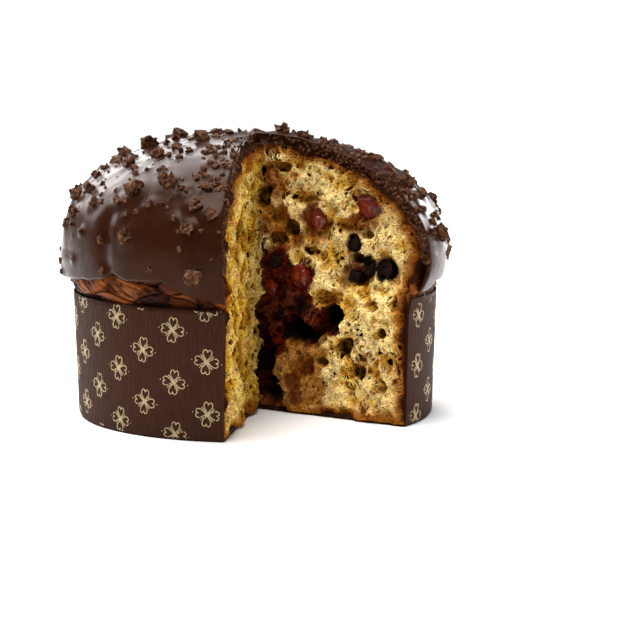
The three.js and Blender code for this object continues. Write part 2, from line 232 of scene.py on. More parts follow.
def cells(u, v, size, seed):
    """Distances to the two nearest cell centres, in cell sizes, and a draw for the nearest."""
    x, y = u / size, v / size
    cx, cy = np.floor(x).astype(np.int64), np.floor(y).astype(np.int64)
    nearest = np.full(x.shape, 9.0)
    second = nearest
    draw = np.zeros(x.shape)
    for dx, dy in itertools.product((-1, 0, 1), repeat=2):
        px, py = cx + dx, cy + dy
        away = np.hypot(px + lattice_draw(px, py, 0, seed) - x, py + lattice_draw(px, py, 1, seed) - y)
        closer = away < nearest
        second = np.where(closer, nearest, np.minimum(second, away))
        draw = np.where(closer, lattice_draw(px, py, 2, seed), draw)
        nearest = np.where(closer, away, nearest)
    return nearest, second, draw


def right_cut(z):
    return mix(RIGHT_CUT_LOW, RIGHT_CUT, smooth(z, *RIGHT_CUT_TURN))


def left_cut(z):
    return LEFT_CUT - LEFT_CUT_FLARE * np.maximum(0, 1 - z / CASE_HEIGHT)


def fullness(azimuth):
    return cosd(azimuth - FULL_SIDE)


def swell(azimuth, polar):
    waves = (1.0 * sind(3 * azimuth + 1.7 * polar + 40) + 0.6 * sind(5 * azimuth - 3.1 * polar + 110)
             + 0.4 * sind(8 * azimuth + 4.3 * polar + 200))
    across = (azimuth - CREASE_AZIMUTH) / CREASE_WIDTH
    along = smooth(polar, 55, 75) * fade(polar, 103, 118)
    return waves * sind(polar) - CREASE_DEPTH * along * np.exp(-across * across)


def dome(azimuth, polar, inset=0):
    """Radius and height of the dome, or of a surface inset from it."""
    azimuth, polar = np.asarray(azimuth, float), np.asarray(polar, float)
    radius = DOME_RADIUS + DOME_LEAN * fullness(azimuth)
    proud = swell(azimuth, polar) - inset
    power = 2 / (DOME_POWER + DOME_POWER_SWING * fullness(azimuth))
    upper = np.minimum(polar, 90)
    below = np.maximum(polar - 90, 0)
    up = np.maximum(cosd(upper), 0)
    r_up = np.maximum(0, radius * sind(upper) ** power + proud * sind(upper))
    z_up = EQUATOR_HEIGHT + DOME_RISE * up ** power + proud * up
    r_low = radius - DOME_TUCK * (1 - cosd(below)) + proud * cosd(below / 2)
    z_low = EQUATOR_HEIGHT - DOME_FALL * sind(below) - proud * sind(below / 2)
    return np.where(polar <= 90, r_up, r_low), np.where(polar <= 90, z_up, z_low)


def glaze_thickness(polar):
    return (GLAZE_TOP - (GLAZE_TOP - GLAZE_SIDE) * smooth(polar, 40, 110)
            - (GLAZE_SIDE - GLAZE_EDGE) * smooth(polar, 110, 165))


def glaze_edge(azimuth):
    """Polar angle of the glaze's lower edge."""
    edge = np.interp(azimuth, GLAZE_EDGE_TURNS[:, 0], GLAZE_EDGE_TURNS[:, 1])
    start, end = HIDDEN_EDGE
    share = np.clip((azimuth - start) / (end - start), 0, 1)
    return edge + EDGE_WAVE * sind(180 * share) * sind(9 * azimuth + 60 * sind(2 * azimuth))


def crust_inset(azimuth, polar):
    bare = smooth(polar - glaze_edge(azimuth), 3, 12)
    folds = 0.6 * sind(11 * azimuth + 3 * polar) + 0.4 * sind(19 * azimuth - 5 * polar)
    drawn_back = 3.2 * smooth(polar, 92, 110) * fade(polar, 140, 165) * fade(azimuth, 62, 74)
    return glaze_thickness(polar) + SKIN_GAP + drawn_back - bare * folds


def place_object(name, data):
    thing = bpy.data.objects.new(name, data)
    bpy.context.scene.collection.objects.link(thing)
    return thing


def mesh_piece(name, points, triangles, material, slot, flat=False, tone=None):
    """An object from points in millimetres, with an optional colour for each point."""
    a, b, c = triangles.T
    triangles = triangles[(a != b) & (b != c) & (c != a)]
    mesh = bpy.data.meshes.new(name)
    mesh.from_pydata((points * MM).tolist(), [], triangles.tolist(), shade_flat=flat)
    mesh.validate()
    if tone is not None:
        layer = mesh.color_attributes.new("tone", "FLOAT_COLOR", "POINT")
        layer.data.foreach_set("color", np.c_[tone, np.ones(len(tone))].astype(np.float32).ravel())
    mesh.materials.append(material)
    piece = place_object(name, mesh)
    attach(piece, "root")
    return piece


def grid_triangles(index):
    """Triangles over a grid of point numbers."""
    a, b, c, d = index[:-1, :-1], index[:-1, 1:], index[1:, 1:], index[1:, :-1]
    return np.concatenate([np.stack([a, b, c], -1).reshape(-1, 3), np.stack([a, c, d], -1).reshape(-1, 3)])


def shell(outer, inner):
    """Points and triangles of a closed shell between two grids of points."""
    rows, columns = outer.shape[:2]
    front = np.arange(rows * columns).reshape(rows, columns)
    back = front + rows * columns
    parts = [grid_triangles(front), grid_triangles(back[:, ::-1])]
    for first, second in ((front[:, 0], back[:, 0]), (back[:, -1], front[:, -1]),
                          (back[0], front[0]), (front[-1], back[-1])):
        parts.append(grid_triangles(np.stack([first, second])))
    return np.concatenate([outer, inner]).reshape(-1, 3), np.concatenate(parts)


def tube_triangles(length, sides):
    """A closed tube over points laid ring by ring."""
    index = np.arange(length * sides).reshape(length, sides)
    index = np.concatenate([index, index[:, :1]], 1)
    last = (length - 1) * sides
    caps = [cap for i in range(1, sides - 1) for cap in ((0, i + 1, i), (last, last + i, last + i + 1))]
    return np.concatenate([grid_triangles(index), np.array(caps)])


def joined(parts):
    """Several pairs of points and triangles as one pair."""
    starts = np.cumsum([0] + [len(points) for points, _ in parts])
    return (np.concatenate([points for points, _ in parts]),
            np.concatenate([triangles + start for (_, triangles), start in zip(parts, starts)]))


def split_triangles(points, triangles):
    """Each triangle cut into four at the middles of its sides."""
    sides = np.sort(triangles[:, [[0, 1], [1, 2], [2, 0]]].reshape(-1, 2), axis=1)
    pairs, which = np.unique(sides, axis=0, return_inverse=True)
    ab, bc, ca = (which.reshape(-1, 3) + len(points)).T
    a, b, c = triangles.T
    points = np.concatenate([points, points[pairs].mean(1)])
    corners = [(a, ab, ca), (ab, b, bc), (ca, bc, c), (ab, bc, ca)]
    return points, np.concatenate([np.stack(corner, -1) for corner in corners])


def hull_triangles(points):
    """The triangles of the convex hull of a few points."""
    triples = np.array(list(itertools.combinations(range(len(points)), 3)))
    first, second, third = points[triples].transpose(1, 0, 2)
    normal = np.cross(second - first, third - first)
    side = np.einsum("tx,tpx->tp", normal, points[None] - first[:, None])
    flip = (side > -1e-9).all(1)
    triples[flip] = triples[flip][:, ::-1]
    return triples[flip | (side < 1e-9).all(1)]


def ball(splits):
    """Points and triangles of a ball of radius 1, an icosahedron split finer."""
    golden = (1 + 5 ** 0.5) / 2
    points = np.array([np.roll((0, a, b * golden), turn)
                       for a, b in itertools.product((-1, 1), repeat=2) for turn in range(3)])
    triangles = hull_triangles(points)
    points /= np.linalg.norm(points, axis=1)[:, None]
    for _ in range(splits):
        points, triangles = split_triangles(points, triangles)
        points /= np.linalg.norm(points, axis=1)[:, None]
    return points, triangles


# Materials


def node_kit(tree):
    """A short way to add nodes, with their inputs and settings, to a node tree."""

    def add(kind, inputs=(), **settings):
        node = tree.nodes.new(kind)
        for key, value in settings.items():
            setattr(node, key, value)
        for socket, value in dict(inputs).items():
            if isinstance(value, bpy.types.NodeSocket):
                tree.links.new(value, node.inputs[socket])
            else:
                node.inputs[socket].default_value = value
        return node

    return add


def link(output, node, socket):
    node.id_data.links.new(output, node.inputs[socket])


def new_material(name, roughness, settings):
    material = bpy.data.materials.new(name)
    material.use_nodes = True
    shader = material.node_tree.nodes["Principled BSDF"]
    for socket, value in {"Roughness": roughness, **settings}.items():
        shader.inputs[socket].default_value = value
    return material, shader, node_kit(material.node_tree)


def own_place(add):
    return add("ShaderNodeTexCoord").outputs["Object"]


def own_tone(add):
    return add("ShaderNodeVertexColor", layer_name="tone").outputs["Color"]


def ramp(add, value, stops):
    """A colour ramp over (place, colour) stops."""
    node = add("ShaderNodeValToRGB", {"Fac": value})
    band = node.color_ramp
    while len(band.elements) < len(stops):
        band.elements.new(0.5)
    for element, (place, colour) in zip(band.elements, stops):
        element.position = place
        element.color = (*colour, 1)
    return node.outputs["Color"]


def noise(add, place, scale, detail=4, roughness=0.55):
    inputs = {"Vector": place, "Scale": scale, "Detail": detail, "Roughness": roughness}
    return add("ShaderNodeTexNoise", inputs).outputs["Fac"]


def bump(add, height, strength, distance, normal=None):
    inputs = {"Height": height, "Strength": strength, "Distance": distance}
    if normal:
        inputs["Normal"] = normal
    return add("ShaderNodeBump", inputs).outputs["Normal"]


def map_range(add, value, start, end, first, last, **settings):
    """A value from start to end turned into one from first to last."""
    inputs = {"Value": value, "From Min": start, "From Max": end, "To Min": first, "To Max": last}
    return add("ShaderNodeMapRange", inputs, **settings).outputs["Result"]


def combine(add, operation, first, second):
    return add("ShaderNodeVectorMath", {0: first, 1: second}, operation=operation).outputs["Vector"]


def mottled_material(name, roughness, settings, mottle, colours, bumps=(), gloss=None, stretch=None):
    """A material with a mottled colour, bumps and gloss. A noise is its scale, detail and roughness."""
    material, shader, add = new_material(name, roughness, settings)
    place = own_place(add)
    if stretch:
        place = add("ShaderNodeMapping", {"Vector": place, "Scale": stretch}).outputs["Vector"]
    link(ramp(add, noise(add, place, *mottle), colours), shader, "Base Color")
    normal = None
    for height, strength, distance in bumps:
        normal = bump(add, noise(add, place, *height), strength, distance, normal)
        link(normal, shader, "Normal")
    if gloss:
        dull, smoothest, roughest = gloss
        link(map_range(add, noise(add, place, *dull), 0.35, 0.7, smoothest, roughest), shader, "Roughness")
    return material


def crust_material():
    """The points' tones with a fine grain."""
    material, shader, add = new_material("browned_crust", 0.5, {"Specular IOR Level": 0.06})
    grain = noise(add, own_place(add), 900, 6, 0.65)
    shade = map_range(add, grain, 0.3, 0.7, 0.72, 1.22)
    link(combine(add, "MULTIPLY", own_tone(add), shade), shader, "Base Color")
    link(bump(add, grain, 0.6, 0.0006), shader, "Normal")
    return material


# Painted shade of the pores of the crumb too fine for its mesh: turn and scales of their pattern, and how
# dark the painted shade makes them
FINE_PORE_SHADE = (((0.3, 0.5, 0.2), (330, 620, 900), 0.55), ((0.9, 0.2, 1.1), (1100, 520, 800), 0.72))


def crumb_material():
    """The points' tones with painted shade in the fine pores, darker in their middles and lighter on their
    walls, stretched into short fibres.
    """
    material, shader, add = new_material("yellow_crumb", 0.8, {
        "Specular IOR Level": 0.06, "Subsurface Weight": 0.15, "Subsurface Scale": 0.001,
        "Subsurface Radius": (1.0, 0.55, 0.2),
    })
    place, tone = own_place(add), own_tone(add)
    stray = add("ShaderNodeTexNoise", {"Vector": place, "Scale": 160, "Detail": 3}).outputs["Color"]
    moved = combine(add, "ADD", place, combine(add, "MULTIPLY", stray, (0.006, 0.006, 0.006)))
    layers = []
    for turn, scale, dark in FINE_PORE_SHADE:
        fibres = add("ShaderNodeMapping", {"Vector": moved, "Rotation": turn, "Scale": scale})
        inputs = {"Vector": fibres.outputs["Vector"], "Scale": 1.0}
        pores = add("ShaderNodeTexVoronoi", inputs, feature="DISTANCE_TO_EDGE")
        layers.append(map_range(add, pores.outputs["Distance"], 0.04, 0.34, 1.3, dark))
    # Painted shade: the pores' middles darker and deeper in colour, their walls lighter.
    shade = add("ShaderNodeMath", {0: layers[0], 1: layers[1]}, operation="MULTIPLY").outputs[0]
    warm = add("ShaderNodeGamma", {"Color": tone, "Gamma": 1.25}).outputs["Color"]
    deep = add("ShaderNodeMix", {"Factor": shade, "A": warm, "B": tone}, data_type="RGBA").outputs["Result"]
    link(combine(add, "MULTIPLY", deep, shade), shader, "Base Color")
    link(bump(add, shade, 0.8, 0.0009), shader, "Normal")
    return material


CRUMB = crumb_material()
CRUST = crust_material()
GLAZE = mottled_material(
    "dark_chocolate_glaze", 0.24, {"Specular IOR Level": 0.09, "Specular Tint": (1.0, 0.72, 0.6, 1)},
    mottle=(45,), colours=[(0.3, (0.021, 0.0056, 0.0018)), (0.7, (0.032, 0.0088, 0.0032))],
    bumps=[((90, 2), 0.12, 0.0012), ((420, 3), 0.12, 0.0003)], gloss=((130, 5), 0.22, 0.32))
CHUNK = mottled_material(
    "rough_chocolate_chunks", 0.65, {"Specular IOR Level": 0.1}, mottle=(420, 6, 0.75),
    colours=[(0.38, (0.014, 0.0042, 0.0016)), (0.49, (0.082, 0.029, 0.0115)), (0.61, (0.21, 0.093, 0.043))],
    bumps=[((480, 5, 0.75), 0.9, 0.0011), ((1900, 3), 0.5, 0.0002)])
PAPER_BROWN = mottled_material(
    "dark_brown_paper", 0.5, {"Specular IOR Level": 0.05}, mottle=(900, 5, 0.6),
    colours=[(0.3, (0.030, 0.0096, 0.0045)), (0.7, (0.050, 0.0175, 0.0090))],
    bumps=[((900, 5, 0.6), 0.25, 0.0002)], stretch=(1, 1, 0.15))
GOLD = mottled_material(
    "pale_gold_ink", 0.45, {"Metallic": 0.35}, mottle=(900, 4),
    colours=[(0.3, (0.42, 0.31, 0.15)), (0.7, (0.62, 0.49, 0.27))])
PEEL = mottled_material(
    "candied_peel", 0.3,
    {"Specular IOR Level": 0.3, "Coat Weight": 0.12, "Subsurface Weight": 0.35, "Subsurface Scale": 0.003,
     "Subsurface Radius": (1.0, 0.25, 0.08)},
    mottle=(160, 4),
    colours=[(0.3, (0.045, 0.0025, 0.0006)), (0.6, (0.15, 0.012, 0.002)), (0.8, (0.34, 0.065, 0.006))],
    bumps=[((420, 4), 0.5, 0.0006)])
BURIED_CHOCOLATE = mottled_material(
    "buried_chocolate", 0.6, {"Specular IOR Level": 0.07}, mottle=(300, 4),
    colours=[(0.35, (0.004, 0.0014, 0.001)), (0.7, (0.018, 0.006, 0.0035))],
    bumps=[((500, 4), 0.6, 0.0005)])


# Chunks


class SeededRandom:
    """The draws that place the chunks, the same as in the solids."""

    def __init__(self, seed):
        self.state = seed

    def __call__(self):
        word = 0xFFFFFFFF
        self.state = (self.state + 0x6D2B79F5) & word
        mixed = ((self.state ^ (self.state >> 15)) * (self.state | 1)) & word
        mixed ^= (mixed + ((mixed ^ (mixed >> 7)) * (mixed | 61) & word)) & word
        return (mixed ^ (mixed >> 14)) / 4294967296


def seat(azimuth, polar):
    """The dome's point with its outward and sideways directions."""
    def at(turn, tilt):
        r, z = dome(turn, tilt)
        return around(float(r), turn, float(z))

    downhill = at(azimuth, polar + 1) - at(azimuth, max(0.5, polar - 1))
    across = np.array([cosd(azimuth), sind(azimuth), 0])
    outward = np.cross(downhill, across)
    return at(azimuth, polar), unit(outward), across


def place_chunks():
    """Size, point, outward and sideways direction of each chunk."""
    draw = SeededRandom(CHUNK_SEED)
    placed = [(size, *seat(azimuth, polar)) for azimuth, polar, size in CHUNKS_SHOWN]

    def try_one(size_range, power, clearance, keep_listed_clear, spread):
        azimuth = mix(RIGHT_CUT, LEFT_CUT, draw())
        polar = math.degrees(math.acos(1 - 1.3 * draw()))
        size = mix(*size_range, draw() ** power)
        wanted = draw() < mix(1, 0.12, float(smooth(polar, *spread)))
        if not wanted or (keep_listed_clear and azimuth > 282 and polar > 16):
            return
        point, outward, across = seat(azimuth, polar)
        to_cut = min(90, azimuth - RIGHT_CUT, LEFT_CUT - azimuth)
        if math.hypot(point[0], point[1]) * sind(to_cut) < CHUNK_FROM_CUT * size:
            return
        if all(np.linalg.norm(there - point) >= clearance * (other + size) for other, there, *_ in placed):
            placed.append((size, point, outward, across))

    while len(placed) < CHUNK_COUNT:
        try_one(CHUNK_SIZE, 2.2, 0.55, True, (35, 100))
    while len(placed) < CHUNK_COUNT + SMALL_CHUNK_COUNT:
        try_one(SMALL_CHUNK_SIZE, 1.6, 0.42, False, (30, 85))
    for start, turn in ((RIGHT_CUT + 1, 17), (LEFT_CUT - 1, -20)):
        for _ in range(EDGE_CHUNK_COUNT):
            azimuth = start + turn * draw() ** 1.6
            polar = mix(14, 78, draw())
            size = mix(*SMALL_CHUNK_SIZE, draw() ** 1.3)
            placed.append((size, *seat(azimuth, polar)))
    return placed


CHUNKS = place_chunks()


def broken_piece(half, rng, corners, splits):
    """A chunk with flat facets and sharp edges, its corners drawn on the sides of a block."""
    points = rng.uniform(-1, 1, (corners, 3))
    points /= np.abs(points).max(1)[:, None]
    points *= rng.uniform(0.72, 1.0, (corners, 1)) * half
    triangles = hull_triangles(points)
    for _ in range(splits):
        points, triangles = split_triangles(points, triangles)
    shift = rng.uniform(0, 90, 3)
    rough = fractal(points / half.mean() + shift, 0.5, 2, 5)[:, None]
    return points * (1 + (0.11 if splits else 0) * rough), triangles


def turned(points, across, outward, turn):
    along = np.cross(outward, across)
    c, s = math.cos(turn), math.sin(turn)
    x, y = c * points[:, 0] - s * points[:, 1], s * points[:, 0] + c * points[:, 1]
    return x[:, None] * across + y[:, None] * along + points[:, 2:3] * outward


# From this size on a chunk has so many corners, splits and smaller shards
CHUNK_GRADES = ((7, 11, 2, 9), (4.2, 11, 2, 6), (2.4, 11, 0, 2), (0, 7, 0, 0))


def chunk_shards(size, rng):
    """One chunk, made of a main shard and smaller ones grown together with it."""
    half = 0.5 * size * np.array([1.1, rng.uniform(0.78, 1.02), rng.uniform(0.62, 0.9)])
    corners, splits, count = next(grade[1:] for grade in CHUNK_GRADES if size > grade[0])
    shards = [broken_piece(half, rng, corners, splits)]
    for _ in range(count):
        spread = unit(rng.normal(size=3)) * rng.uniform(0.4, 0.7)
        points, triangles = broken_piece(size * rng.uniform(0.15, 0.3, 3), rng, 8, splits // 2)
        shards.append((points + spread * half, triangles))
    return half, shards


def build_chunks():
    rng = np.random.default_rng(7)
    pieces = {"chocolate_chunks": CHUNKS[:CHUNK_COUNT], "chocolate_chips": CHUNKS[CHUNK_COUNT:]}
    for name, chunks in pieces.items():
        parts = []
        for size, point, outward, across in chunks:
            half, shards = chunk_shards(size, rng)
            tilt = unit(across + 0.25 * rng.normal() * outward)
            lean = unit(outward - tilt * (outward @ tilt))
            turn = rng.uniform(0, 2 * math.pi)
            lift = 0.9 * half[2] - min(CHUNK_SINK, 0.7 * half[2])
            points, triangles = joined(shards)
            parts.append((turned(points, tilt, lean, turn) + point + outward * lift, triangles))
        mesh_piece(name, *joined(parts), CHUNK, "glaze", flat=True)


# Glaze


def build_cut_bits():
    """Bits of chocolate and crust smeared over the cut edges of the glaze."""
    rng = np.random.default_rng(19)
    parts = []
    for cut, aside, count in CUT_BITS:
        for polar in 3 + 102 * rng.random(count) ** 0.8:
            size = rng.uniform(0.5, 1.5)
            inset = rng.uniform(0.4, float(glaze_thickness(polar)) + 1.6)
            r, z = dome(cut, polar, inset)
            azimuth = cut + aside * np.degrees(rng.uniform(-0.1, 0.45) / max(float(r), 8))
            points, triangles = broken_piece(size * rng.uniform(0.5, 1, 3), rng, 8, 0)
            across, outward = rng.normal(size=(2, 3))
            across = unit(across)
            points = turned(points, across, unit(outward - across * (outward @ across)), 0)
            parts.append((points + around(r, azimuth, z), triangles))
    mesh_piece("cut_edge_bits", *joined(parts), CHUNK, "glaze", flat=True)


def glaze_detail(azimuth, polar):
    """Lumps and dents finer than those of the solid, and the glaze drawn up round the chunks."""
    r, z = dome(azimuth, polar)
    place = around(r, azimuth, z)
    height = 0.7 * fractal(place, 21, 2, 31) + 0.1 * fractal(place, 8, 2, 37)
    drawn_up = 0
    for size, point, *_ in CHUNKS[:GLAZED_CHUNK_COUNT]:
        away = np.linalg.norm(place - point, axis=-1) / (0.75 * size)
        drawn_up = np.maximum(drawn_up, np.exp(-away ** 3) * min(1.1, 0.16 * size))
    return height * smooth(polar, 0, 14) + drawn_up


GLAZE_ROWS = 128
GLAZE_COLUMNS = 352


def build_glaze():
    share = np.linspace(0, 1, GLAZE_ROWS)[:, None]
    azimuth = np.linspace(RIGHT_CUT, LEFT_CUT, GLAZE_COLUMNS)[None, :]
    ragged = 2.2 * fractal(around(100.0, azimuth, 0.0), 7, 3, 3)
    edge = glaze_edge(azimuth) + ragged * smooth(azimuth, 60, 70) * fade(azimuth, 341, 351)
    polar = share * edge
    azimuth = azimuth + 0 * share
    r0, z0 = dome(azimuth, polar)
    chip = np.degrees(1.6 * fractal(in_plane(r0 / 6, z0 / 6), 1, 3, 8) / np.maximum(r0, 12))
    ends = np.exp(-np.minimum(azimuth - RIGHT_CUT, LEFT_CUT - azimuth) / 0.8)
    shifted = azimuth + np.where(azimuth < 180, 1, -1) * np.abs(chip) * ends
    lip = smooth(polar, edge - 5, edge) ** 2
    inset = -glaze_detail(azimuth, polar) * (1 - 0.6 * lip) + 0.45 * GLAZE_EDGE * lip + 0.5 * ends ** 3
    r, z = dome(shifted, polar, inset)
    inner_r, inner_z = dome(shifted, polar, glaze_thickness(polar) - 0.15 * lip)
    points, triangles = shell(around(r, shifted, z), around(inner_r, shifted, inner_z))
    glaze = mesh_piece("chocolate_glaze", points, triangles[:, ::-1], GLAZE, "glaze")
    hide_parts("glaze")


# Crumb


def face_relief(r, z, side):
    """How far a cut face stands proud of its plane, as in the solids."""
    hollows, phase = (RIGHT_HOLLOWS, 0.7) if side == RIGHT else (LEFT_HOLLOWS, 2.3)
    crags = (0.8 * np.sin(0.21 * r + 0.13 * z + phase) + 0.6 * np.sin(0.33 * z - 0.17 * r + 2 * phase)
             + 0.5 * np.sin(0.45 * r + 0.38 * z + 3 * phase))
    holes = 0
    for at_r, at_z, radius, depth in hollows:
        holes = holes + depth * np.exp(-1.4 * (np.hypot(r - at_r, z - at_z) / radius) ** 4)
    return (CRUMB_RELIEF * crags - holes) * smooth(r, 0, 9)


def seam(z):
    return 1.6 * np.sin(0.09 * z + 1) + 0.8 * np.sin(0.31 * z)


def cut_points(r, z, side, proud):
    azimuth = right_cut(z) if side == RIGHT else left_cut(z)
    points = around(r, azimuth, z)
    points[..., 0] += seam(z) * fade(r, 0, 16) + side * proud * cosd(azimuth)
    points[..., 1] += side * proud * sind(azimuth)
    return points


def crumb_outline(side):
    """The crumb's edge on a cut, from its top down to its foot: distances from the axis and heights."""
    azimuth = RIGHT_CUT if side == RIGHT else LEFT_CUT
    polar = np.linspace(0, 180, 361)
    r, z = dome(np.full(polar.shape, float(azimuth)), polar, crust_inset(azimuth, polar))
    return np.r_[r, CASE_BASE_RADIUS - PAPER - FOOT_GAP], np.r_[z, PAPER + FOOT_RISE]


def painted(tone, layers):
    """A tone under layers of colour, each with its share from 0 to 1."""
    for colour, share in layers:
        tone = tone + (colour - tone) * np.clip(share, 0, 1)[..., None]
    return tone


def spot_distance(r, z, spot, size):
    """Distance to a spot, 1 at its edge."""
    return 2 * np.hypot((r - spot[0]) / size[0], (z - spot[1]) / size[1])


def edge_distance(r, z, outline):
    """Distance of each point to the outline, negative outside it."""
    edge_r, edge_z = outline
    order = np.argsort(edge_z)
    reach = np.interp(z, edge_z[order], edge_r[order])
    near = np.full(r.shape, 1e9)
    for i in range(0, len(edge_r) - 1, 2):
        near = np.minimum(near, np.hypot(r - edge_r[i], z - edge_z[i]))
    near = np.where(z < edge_z[-2], np.minimum(near, np.abs(r - reach)), near)
    near = np.minimum(near, np.abs(z - edge_z[-1]))
    return np.where((r < reach) & (z > edge_z[-1]) & (z < edge_z[0]), near, -near)


# Colours of the crumb, and the two tints of the left cut
CREAM = np.array([1.0, 0.72, 0.28])
YELLOW = np.array([0.80, 0.44, 0.06])
AMBER = np.array([0.38, 0.13, 0.008])
TOAST = np.array([0.25, 0.062, 0.0035])
BROWN = np.array([0.028, 0.0060, 0.0010])
SPECK = np.array([0.006, 0.0025, 0.0015])
RED_BROWN = np.array([0.090, 0.0042, 0.0009])
LEFT_TINT = np.array([0.66, 0.54, 0.13])
LEFT_TINT_PALE = np.array([0.80, 0.74, 0.55])

# The slab of foam on each cut: its cell size, how far it reaches before and behind the cut and past
# the axis, how deep its pores go, and the reach of its distances
VOXEL = 0.62
PROUD_SPACE = 6
SLAB = 11
BEYOND_AXIS = 8
FOAM_DEPTH = 8
BAND = 1.5
MOST_CRUMB_TRIANGLES = 197000


def cell_gap(points, seed, table=48):
    """Twice the distance to the wall between two cells, in cell sizes."""
    draws = np.random.default_rng(seed).random((table, table, table, 3), dtype=np.float32)
    cell = np.floor(points).astype(np.int32)
    nearest = np.full(points.shape[:-1], 9, np.float32)
    second = nearest.copy()
    for offset in itertools.product((-1, 0, 1), repeat=3):
        there = cell + np.array(offset, np.int32)
        wrapped = there % table
        centre = draws[wrapped[..., 0], wrapped[..., 1], wrapped[..., 2]] + there
        away = np.sqrt(((centre - points) ** 2).sum(-1))
        second = np.minimum(second, np.maximum(nearest, away))
        nearest = np.minimum(nearest, away)
    return second - nearest


def zone_share(r, z, corners, soft):
    """1 well inside a closed line, 0 well outside it."""
    inside = np.zeros(r.shape, bool)
    near = np.full(r.shape, 1e9)
    for (r0, z0), (r1, z1) in zip(corners, np.roll(corners, -1, axis=0)):
        dr, dz = r1 - r0, z1 - z0
        along = np.clip(((r - r0) * dr + (z - z0) * dz) / (dr ** 2 + dz ** 2), 0, 1)
        near = np.minimum(near, np.hypot(r - r0 - along * dr, z - z0 - along * dz))
        if dz:
            inside ^= ((z0 > z) != (z1 > z)) & (r < r0 + (z - z0) * dr / dz)
    return smooth(np.where(inside, near, -near), -soft, soft)


def cave_depth(r, z, side):
    """Depth of the caves torn into a face, and the painted shade that darkens them."""
    caves = CAVES if side == RIGHT else [(at_r, at_z, size, size, deep, 0.7)
                                         for at_r, at_z, size, deep in LEFT_HOLLOWS]
    plane = in_plane(r, z)
    ragged = 0.38 * fractal(plane, 6, 3, 540) + 0.12 * fractal(plane, 1.6, 1, 545)
    deepest = cave_shade = np.zeros(r.shape)
    for at_r, at_z, wide, high, deep, dark in caves:
        away = np.hypot((r - at_r) / wide, (z - at_z) / high) + ragged
        deepest = np.maximum(deepest, deep * fade(away, 0.55, 1.15))
        cave_shade = np.maximum(cave_shade, dark * fade(away, 0.75, 1.1))
    return deepest, cave_shade


def face_proud(r, z, side):
    """How far the torn face stands proud of the cut's plane, and the painted shade of its caves."""
    seed = 500 if side == RIGHT else 600
    plane = in_plane(r, z)
    torn = (2.9 * fractal(plane, 15, 2, seed) - 3.8 * np.abs(fractal(plane, 9, 2, seed + 3)) + 0.8
            + 1.1 * fractal(plane, 3.2, 2, seed + 6))
    held = 0.35 + 0.65 * smooth(np.abs(r), 0, 6) if side == RIGHT else 1 + 0.5 * fade(r, 0, 25)
    depth, dark = cave_depth(r, z, side)
    proud = face_relief(r, z, side) + torn * held - depth + 0.5
    if side == RIGHT:
        ragged = 0.3 * fractal(plane, 4, 2, 549)
        for spot, size in zip(FRUIT + CHOCOLATE, FRUIT_SIZES + CHOCOLATE_SIZES):
            away = spot_distance(r, z, spot, size) + ragged
            proud = np.minimum(proud, mix(-2.2, 6, smooth(away, 0.7, 1.5)))
    return proud, dark


COARSE_CELL = np.array([10, 5, 4.6], np.float32)
FINE_CELL = np.array([4.2, 2.2, 2.1], np.float32)


def foam(r, z, depth, side, from_edge):
    """Positive in the walls of the foam and negative in its pores, in millimetres."""
    seed = 700 if side == RIGHT else 800
    r, z, depth = np.broadcast_arrays(r, z, depth)
    plane = np.stack([r, z, depth], -1)[:, :, 0]
    warp_r, warp_z = (5 * fractal(plane, 16, 2, seed + i)[:, :, None] for i in range(2))
    angle, patch = (value[:, :, None] for value in foam_direction(plane[..., 0], plane[..., 1], side))
    x, y = r + warp_r, z + warp_z
    along = x * np.cos(angle) + y * np.sin(angle)
    across = y * np.cos(angle) - x * np.sin(angle)
    bent = np.stack([along, across, depth + 60 * patch], -1).astype(np.float32)
    open_up = (fractal(plane, 17, 2, seed + 8) + 0.4 * fractal(plane, 5, 2, seed + 11))[:, :, None]
    crusty = 0.9 * fade(from_edge, 0.3, 3.5)[:, :, None]
    coarse = 0.25 + crusty - 2.2 * cell_gap(bent / COARSE_CELL, seed + 6)
    fine = 0.18 + crusty - 1.0 * cell_gap(bent / FINE_CELL, seed + 7)
    return np.maximum(coarse, np.minimum(fine, 2.2 * (0.14 - open_up)))


def main_part(points, triangles):
    """The largest connected part of a mesh, without closed pores and loose bits."""
    label = np.arange(len(points))
    while True:
        before = label.copy()
        corners = before[triangles]
        lowest = np.repeat(corners.min(1), 3)
        np.minimum.at(label, corners.ravel(), lowest)
        np.minimum.at(label, triangles.ravel(), lowest)
        label = label[label]
        if (label == before).all():
            break
    part = label[triangles[:, 0]]
    keep = label == np.bincount(part).argmax()
    return points[keep], (np.cumsum(keep) - 1)[triangles[keep[triangles[:, 0]]]]


def thin_out(piece, most):
    """Fewer triangles for a piece, with its colours kept."""
    count = len(piece.data.polygons)
    if count > most:
        fewer = piece.modifiers.new("fewer", "DECIMATE")
        fewer.ratio = most / count
        made = piece.evaluated_get(bpy.context.evaluated_depsgraph_get())
        mesh = bpy.data.meshes.new_from_object(made)
        piece.modifiers.clear()
        piece.data = mesh


